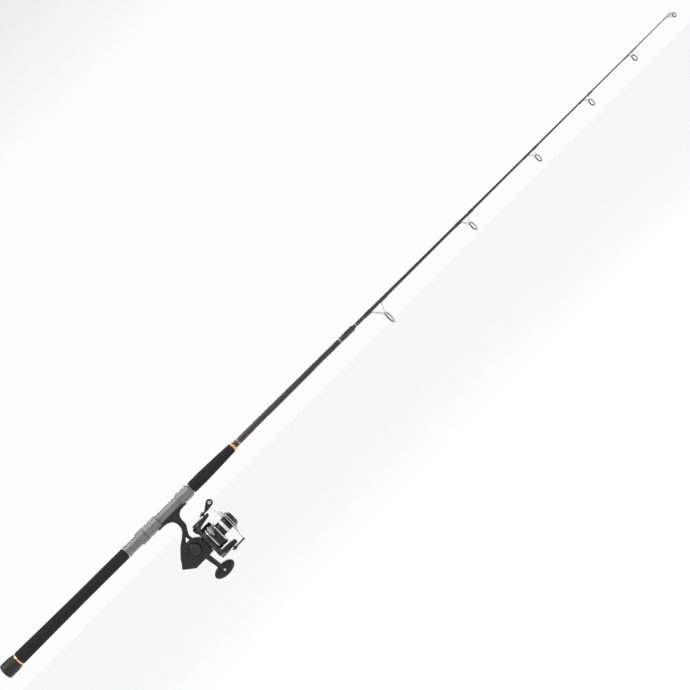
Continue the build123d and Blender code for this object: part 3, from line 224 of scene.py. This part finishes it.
coverage = {
    "foam": ["butt_grip", "foregrip"],
    "rubber": ["butt_cap"],
    "copper": ["accent_ring", "winding_check"],
    "blank": ["blank_butt", "blank_tip"],
    "wrap": ["ferrule_wrap", "guide_wraps"],
    "seat": ["reel_seat", "seat_hood", "lock_nut"],
    "steel": ["guide_frame_%d" % n for n in range(1, 6)] + ["tip_top_frame"],
    "ceramic": ["guide_ring_%d" % n for n in range(1, 6)] + ["tip_top_ring"],
    "graphite": ["reel_body", "side_cover", "rotor", "bail_arm", "bail_lever"],
    "gloss": ["side_cap", "roller_dome", "drag_knob", "handle_shank"],
    "gunmetal_and_painted_highlight": ["arm_covers"],
    "arm": ["handle_arm"],
    "knob": ["handle_knob"],
    "inlay": ["knob_inlay"],
    "spool": ["spool"],
    "chrome": ["bail_wire", "line_roller", "main_shaft", "knob_post", "roller_pin", "crank_bearings",
               "pinion_bearing", "anti_reverse_clutch", "drive_shaft", "bail_spring", "oscillation_post"],
    "screw": ["cover_screws", "pivot_screws"],
    "gear": ["drive_gear", "oscillation_gear", "slider_block"],
    "brass": ["pinion", "rotor_nut", "drag_nut"],
    "band": ["spool_band"],
    "felt": ["drag_washers"],
    "click": ["click_gear"],
}
for key, names in coverage.items():
    for name in names:
        mesh = nodes[name].data
        mesh.materials.clear()
        mesh.materials.append(mats[key])


# ---------- helpers for pieces ----------
def place(data, name, material, body):
    """Links a mesh or curve to the scene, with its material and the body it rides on."""
    piece = bpy.data.objects.new(name, data)
    bpy.context.scene.collection.objects.link(piece)
    data.materials.append(mats[material])
    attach(piece, body)
    return piece


def smooth_mesh(bm, name):
    """Ends a bmesh: normals outward, smooth faces, and the mesh that it makes."""
    bmesh.ops.recalc_face_normals(bm, faces=bm.faces)
    mesh = bpy.data.meshes.new(name)
    bm.to_mesh(mesh)
    bm.free()
    for face in mesh.polygons:
        face.use_smooth = True
    return mesh


def lathe(name, profile, material, body, z=0.0, steps=64, start=0.0, sweep=360.0):
    """Turns a closed outline of (x, radius) pairs about the line parallel to X at height z."""
    bm = bmesh.new()
    full = sweep >= 360.0
    count = steps if full else steps + 1
    rings = []
    for k in range(count):
        a = math.radians(start + sweep * k / steps)
        rings.append([
            bm.verts.new((x * MM, r * MM * math.cos(a), z * MM + r * MM * math.sin(a))) for x, r in profile
        ])
    n = len(profile)
    for k in range(steps):
        one, two = rings[k], rings[(k + 1) % count]
        for i in range(n):
            j = (i + 1) % n
            bm.faces.new((one[i], one[j], two[j], two[i]))
    if not full:
        bm.faces.new(rings[0])
        bm.faces.new(list(reversed(rings[-1])))
    place(smooth_mesh(bm, name), name, material, body)


SAME_PLACE = 0.01           # points of a blank that are this close along X belong to one ring


def blank_radius(node, x):
    """Outer radius of a blank at x, read from its mesh."""
    points = [(v.co.x / MM, math.hypot(v.co.y, v.co.z) / MM) for v in nodes[node].data.vertices]
    behind = max(p[0] for p in points if p[0] <= x)
    ahead = min(p[0] for p in points if p[0] > x)
    r_behind = max(r for px, r in points if abs(px - behind) < SAME_PLACE)
    r_ahead = max(r for px, r in points if abs(px - ahead) < SAME_PLACE)
    return r_behind + (r_ahead - r_behind) * (x - behind) / (ahead - behind)


def band(name, node, body, x, width, height, material, start=0.0, sweep=360.0):
    """A thin band of thread or print on a blank."""
    r0, r1 = blank_radius(node, x), blank_radius(node, x + width)
    edge = min(BAND_EDGE, width / 4)
    rear_foot, front_foot = (x, r0 - SUNK), (x + width, r1 - SUNK)
    profile = [rear_foot, (x + edge, r0 + height), (x + width - edge, r1 + height), front_foot]
    lathe(name, profile, material, body, steps=48 if sweep >= 360 else 8, start=start,
          sweep=sweep)


def tube(name, path, radius, order, material, body, around=3, along=12, taper=False):
    """A round line along the (x, y, z) points of a NURBS path. With taper it thins towards both ends."""
    curve = bpy.data.curves.new(name, "CURVE")
    curve.dimensions = "3D"
    curve.bevel_depth = radius * MM
    curve.bevel_resolution = around
    curve.resolution_u = along
    curve.use_fill_caps = True
    spline = curve.splines.new("NURBS")
    spline.points.add(len(path) - 1)
    for k, (x, y, z) in enumerate(path):
        spline.points[k].co = (x * MM, y * MM, z * MM, 1)
        if taper:
            from_end = min(k, len(path) - 1 - k)
            spline.points[k].radius = min(1.0, 0.35 + 0.3 * from_end)
    spline.use_endpoint_u = True
    spline.order_u = order
    place(curve, name, material, body)


# ---------- windings and marks on the rod ----------
BAND_EDGE = 0.12            # length over which a band rises to its height, less on a narrow one
SUNK = 0.1                  # how far a band's or a winding's inside lies under the blank's surface
THREAD_PITCH = 0.45
THREAD_RELIEF = 0.05        # a turn of thread above the groove next to it
VARNISH = 0.05              # winding above the blank, where it starts
FIRST_CROWN = 1.15          # thickness of the first guide's windings over the varnish at their ends
CROWN = 0.9                 # and of the others
WINDING_SLOPE = 4.0         # length over which a winding rises to its full thickness
FOOT_LIFT = 0.45            # what a guide's foot adds on the underside
WINDING_PAST_FOOT = 3.0     # how far a winding goes on beyond the end of a guide's foot
WINDING_PAST_BEND = 2.0     # and how far it goes on past the bend between foot and leg
TRIM_WIDTH = 0.8
TRIM_HEIGHT = 0.22


def winding(name, start, end, crown):
    """Turns of thread under varnish, crown thick, over a guide's foot that lifts them on the underside."""
    r0, r1 = blank_radius("blank_tip", start), blank_radius("blank_tip", end)
    rows = 2 * int((end - start) / THREAD_PITCH)
    steps = 40
    angles = [2 * math.pi * m / steps for m in range(steps)]
    bm = bmesh.new()
    loops = []
    for k in range(rows + 1):
        x = start + (end - start) * k / rows
        rise = min(1.0, (x - start) / WINDING_SLOPE, (end - x) / WINDING_SLOPE)
        rise = rise * rise * (3 - 2 * rise)
        thread = THREAD_RELIEF if k % 2 else 0.0
        r = r0 + (r1 - r0) * (x - start) / (end - start) + VARNISH + crown * rise + thread
        ring = []
        for a in angles:
            lifted = r + FOOT_LIFT * rise * max(0.0, -math.sin(a)) ** 3
            ring.append(bm.verts.new((x * MM, lifted * MM * math.cos(a), lifted * MM * math.sin(a))))
        loops.append(ring)
    for x, r in ((end, r1 - SUNK), (start, r0 - SUNK)):
        loops.append([bm.verts.new((x * MM, r * MM * math.cos(a), r * MM * math.sin(a))) for a in angles])
    for k, one in enumerate(loops):
        two = loops[(k + 1) % len(loops)]
        for m in range(steps):
            n = (m + 1) % steps
            bm.faces.new((one[m], one[n], two[n], two[m]))
    return place(smooth_mesh(bm, name), name, "wrap", "tip_section")


def guide_windings():
    """Two windings a guide, each with a silver and a rose trim thread beyond its far end."""
    made = []
    for number, (guide_x, ring_d, gap) in enumerate(GUIDES, start=1):
        # length of the feet and place of the two bends, by the part's own rule
        foot = 12 + ring_d * 0.25
        rear = guide_x - 0.75 * gap - 3
        front = guide_x + 0.3 * gap + 2
        crown = FIRST_CROWN if number == 1 else CROWN
        spans = (
            ("rear", rear - foot - WINDING_PAST_FOOT, rear + WINDING_PAST_BEND),
            ("front", front - WINDING_PAST_BEND, front + foot + WINDING_PAST_FOOT),
        )
        for word, start, end in spans:
            label = "winding_%d_%s" % (number, word)
            made.append(winding(label, start, end, crown))
            far, out = (start, -1) if word == "rear" else (end, 1)
            for trim, offset in (("silver", 1.2), ("rose", 2.4)):
                x = far + out * offset - TRIM_WIDTH / 2
                band(label + "_" + trim, "blank_tip", "tip_section", x, TRIM_WIDTH, TRIM_HEIGHT,
                     trim + "_line")
    return made


# trim threads and text-free bars: place, width, where the bar's sweep starts and how far it goes, in degrees
BUTT_MARKS = (
    (648.0, 1.0, 0, 360, "silver_line"),
    (651.0, 0.8, 0, 360, "rose_line"),
    (690.0, 46.0, 235, 60, "print"),
    (742.0, 7.0, 245, 40, "print"),
    (753.0, 20.0, 255, 18, "print"),
    (878.0, 30.0, 235, 60, "print"),
    (913.0, 10.0, 240, 46, "print"),
    (928.0, 16.0, 255, 18, "print"),
    (958.0, 0.8, 0, 360, "rose_line"),
    (961.0, 1.2, 0, 360, "silver_line"),
)
TIP_MARKS = (
    (1010.0, 1.2, 0, 360, "silver_line"),
    (1013.0, 0.8, 0, 360, "rose_line"),
)
MARK_HEIGHTS = {"silver_line": 0.14, "rose_line": 0.14, "print": 0.05}


def marks(prefix, node, body, table):
    """The threads and bars of a table, on one of the blanks."""
    for k, (x, width, start, sweep, kind) in enumerate(table):
        band("%s_%d" % (prefix, k), node, body, x, width, MARK_HEIGHTS[kind], kind,
             start=start, sweep=sweep)


wraps = guide_windings()
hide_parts("guide_wraps")
marks("butt_mark", "blank_butt", "rod", BUTT_MARKS)
marks("tip_mark", "blank_tip", "tip_section", TIP_MARKS)

# ---------- pieces on the reel ----------
# bright-cut rings of the spool: outlines of (x ahead of the crank, radius)
SPOOL_RINGS = (
    ("skirt_rear", [(38.4, 28.86), (38.7, 29.08), (40.0, 29.08), (40.3, 28.86)]),
    ("skirt_front", [(58.6, 28.7), (58.4, 29.08), (59.3, 28.95), (61.3, 27.25), (61.0, 26.9)]),
    ("skirt_line", [(41.6, 28.92), (41.65, 29.03), (41.95, 29.03), (42.0, 28.92)]),
    ("lip", [(88.5, 30.3), (88.6, 30.56), (89.3, 30.56), (89.9, 28.9), (89.6, 28.7)]),
    ("face", [(92.9, 20.9), (93.0, 21.2), (94.06, 19.9), (94.06, 18.6), (93.9, 18.6)]),
)
# text-free bars printed on its skirt: x ahead of the crank, width, sweep in degrees
SPOOL_BARS = ((44.6, 1.0, 34), (46.6, 2.4, 52), (50.4, 0.7, 44), (51.8, 0.5, 36), (53.6, 0.4, 24))
BAR_INSIDE = 28.9
BAR_OUTSIDE = 29.04
BAR_EDGE = 0.1


def spool_rings():
    for word, profile in SPOOL_RINGS:
        lathe("spool_" + word, [(CRANK_X + x, r) for x, r in profile], "bright", "spool",
              z=SPOOL_Z, steps=96)


def spool_bars():
    """Three groups of bars, evenly spaced round the skirt."""
    for k in range(3):
        middle = 120 * k + 150
        for x, width, reach in SPOOL_BARS:
            rear, front = CRANK_X + x, CRANK_X + x + width
            profile = [(rear, BAR_INSIDE), (rear + BAR_EDGE, BAR_OUTSIDE), (front - BAR_EDGE, BAR_OUTSIDE),
                       (front, BAR_INSIDE)]
            lathe("spool_bar_%d_%d" % (k, int(x)), profile, "print", "spool", z=SPOOL_Z,
                  steps=20, start=middle - reach / 2, sweep=reach)


def cover_bar():
    """Text-free bar on the side cover near its tail: a slot shape with a rounded edge."""
    tilt = math.radians(22)
    centre_x, centre_z = CRANK_X - 26.0, SPOOL_Z - 8.4
    half_length = 5.2
    end_radius = 1.5
    steps = 32
    # height above the cover's face and how far the outline is drawn in there
    layers = ((-0.1, 0.0), (0.22, 0.0), (0.36, 0.2), (0.36, 0.55), (0.24, 0.7))
    bm = bmesh.new()
    outlines = []
    for height, inset in layers:
        ring = []
        for k in range(steps):
            a = 2 * math.pi * k / steps
            u = math.copysign(half_length, math.cos(a)) + (end_radius - inset) * math.cos(a)
            v = (end_radius - inset) * math.sin(a)
            x = centre_x + u * math.cos(tilt) + v * math.sin(tilt)
            z = centre_z - u * math.sin(tilt) + v * math.cos(tilt)
            ring.append(bm.verts.new((x * MM, (BODY_SIDE + height) * MM, z * MM)))
        outlines.append(ring)
    for one, two in zip(outlines, outlines[1:]):
        for k in range(steps):
            bm.faces.new((one[k], one[(k + 1) % steps], two[(k + 1) % steps], two[k]))
    bm.faces.new(outlines[0])
    bm.faces.new(list(reversed(outlines[-1])))
    place(smooth_mesh(bm, "cover_bar"), "cover_bar", "gunmetal_and_painted_highlight", "rod")


# raised lines on the housing: side of the reel (1 has the crank), and points of (x from crank, z from spool)
RELIEFS = (
    ("tail_far", -1, ((-16.0, -16.5), (-25.5, -16.8), (-41.0, -3.4), (-33.0, 6.6), (-20.0, 21.8))),
    ("belt_far", -1, ((17.5, -11.0), (19.5, 2.0), (18.0, 16.5), (9.0, 24.0), (-8.0, 24.4))),
    ("tail_near", 1, ((-12.0, -17.4), (-24.8, -17.2), (-32.4, -10.9))),
)
RELIEF_RADIUS = 0.45
# half of a rotor rim, from an arm's end to the side of the cup: x from crank, y, z from spool
RIM_HALF = (
    (69.0, 7.6, 42.4), (63.0, 8.8, 43.3), (54.0, 10.6, 42.9), (46.5, 12.0, 42.4), (41.5, 15.8, 41.2),
    (37.0, 20.6, 39.0), (33.2, 25.0, 35.0), (31.0, 28.2, 26.0), (30.2, 31.8, 13.0), (30.0, 33.3, 0.0),
)
RIM_RADIUS = 1.4


def relief_lines():
    for word, side, points in RELIEFS:
        path = [(CRANK_X + x, side * BODY_SIDE, SPOOL_Z + z) for x, z in points]
        tube("relief_" + word, path, RELIEF_RADIUS, 3, "gloss", "rod")


def rotor_rims_painted_highlight():
    """Raised rims that run from each rotor arm round the cup to the other arm. Their lighter gunmetal colour
    over the black rotor is a painted highlight: it stands in for the bright band along the arms' edge.
    """
    whole = RIM_HALF + tuple((x, y, -z) for x, y, z in reversed(RIM_HALF[:-1]))
    for word, side in (("near", 1), ("far", -1)):
        path = [(CRANK_X + x, side * y, SPOOL_Z + z) for x, y, z in whole]
        tube("rotor_rim_painted_highlight_" + word, path, RIM_RADIUS, 4, "gunmetal_and_painted_highlight", "rotor", around=4, along=10,
             taper=True)


spool_rings()
spool_bars()
cover_bar()
relief_lines()
rotor_rims_painted_highlight()


# ---------- stage, in metres ----------
FLOOR_Z = -0.7
FLOOR_REACH = 40
AIM = (0.963, 0, -0.0146)
CAMERA_DISTANCE = 2.196
CAMERA_LENS = 52.17
SENSOR = 36.0
TIP_AWAY = 12.0             # degrees that the rod's tip leans away from the camera
ROD_RIGHT = 0.709           # the rod's direction in the picture, before that lean
ROD_UP = 0.705


def floor_plane():
    """A pale floor under the object."""
    bm = bmesh.new()
    corners = ((-1, -1), (1, -1), (1, 1), (-1, 1))
    bm.faces.new([bm.verts.new((x * FLOOR_REACH, y * FLOOR_REACH, FLOOR_Z)) for x, y in corners])
    mesh = bpy.data.meshes.new("floor")
    bm.to_mesh(mesh)
    bm.free()
    material = surface("floor_paper", (0.98, 0.98, 0.98), (0.965, 0.965, 0.965), (0.85, 0.95), size=4,
                       wear=60, depth=0.01)
    mesh.materials.append(material)
    piece = bpy.data.objects.new("floor", mesh)
    bpy.context.scene.collection.objects.link(piece)


def sky():
    """White at the horizon and below it, and grey overhead, which the glossy parts reflect."""
    world = bpy.data.worlds.new("studio")
    world.use_nodes = True
    tree = world.node_tree
    where = tree.nodes.new("ShaderNodeTexCoord")
    split = tree.nodes.new("ShaderNodeSeparateXYZ")
    tree.links.new(where.outputs["Generated"], split.inputs["Vector"])
    colour = ramp(tree, split.outputs["Z"], 0.34, 0.80, ((0.98, 0.98, 0.98), (0.30, 0.30, 0.31)))
    tree.links.new(colour, tree.nodes["Background"].inputs["Color"])
    tree.nodes["Background"].inputs["Strength"].default_value = 1.0
    bpy.context.scene.world = world


def hang(light, direction, location=(0, 0, 0)):
    """Puts a light in the scene, shining along a direction."""
    lamp = bpy.data.objects.new(light.name, light)
    lamp.location = location
    lamp.rotation_mode = "QUATERNION"
    lamp.rotation_quaternion = Vector(direction).to_track_quat("-Z", "Y")
    bpy.context.scene.collection.objects.link(lamp)


def area_light(name, location, target, size, power):
    """A strip light at one point that shines at another, with its size in metres and its power in watts."""
    light = bpy.data.lights.new(name, "AREA")
    light.shape = "RECTANGLE"
    light.size, light.size_y = size
    light.energy = power
    hang(light, Vector(target) - Vector(location), location)


def wide_sun():
    light = bpy.data.lights.new("wide", "SUN")
    light.energy = 1.45
    light.angle = math.radians(40)
    hang(light, (0.25, 0.3, -1))


def main_camera():
    """The photo's view: the rod runs up to the right, and the reel hangs below it to the lower right."""
    lean = math.radians(TIP_AWAY)
    rod = Vector((ROD_RIGHT * math.cos(lean), ROD_UP * math.cos(lean), -math.sin(lean))).normalized()
    up = Vector((-ROD_UP, ROD_RIGHT, 0)).normalized()
    turn = Matrix((rod, up.cross(rod), up))
    data = bpy.data.cameras.new("camera")
    data.sensor_width = SENSOR
    data.lens = CAMERA_LENS
    camera = bpy.data.objects.new("camera", data)
    back = turn @ Vector((0, 0, CAMERA_DISTANCE))
    camera.matrix_world = Matrix.Translation(Vector(AIM) + back) @ turn.to_4x4()
    bpy.context.scene.collection.objects.link(camera)
    bpy.context.scene.camera = camera


floor_plane()
sky()
bpy.context.scene.view_settings.view_transform = "Standard"
area_light("key", (0.2, -1.6, 1.6), (0.8, 0, 0), (2.2, 0.14), 17)
area_light("top", (1.1, 0.2, 1.9), (1.0, 0, 0), (2.6, 0.12), 12)
area_light("back", (1.0, 1.7, 0.9), (1.0, 0, 0), (2.4, 0.12), 13)
wide_sun()
main_camera()
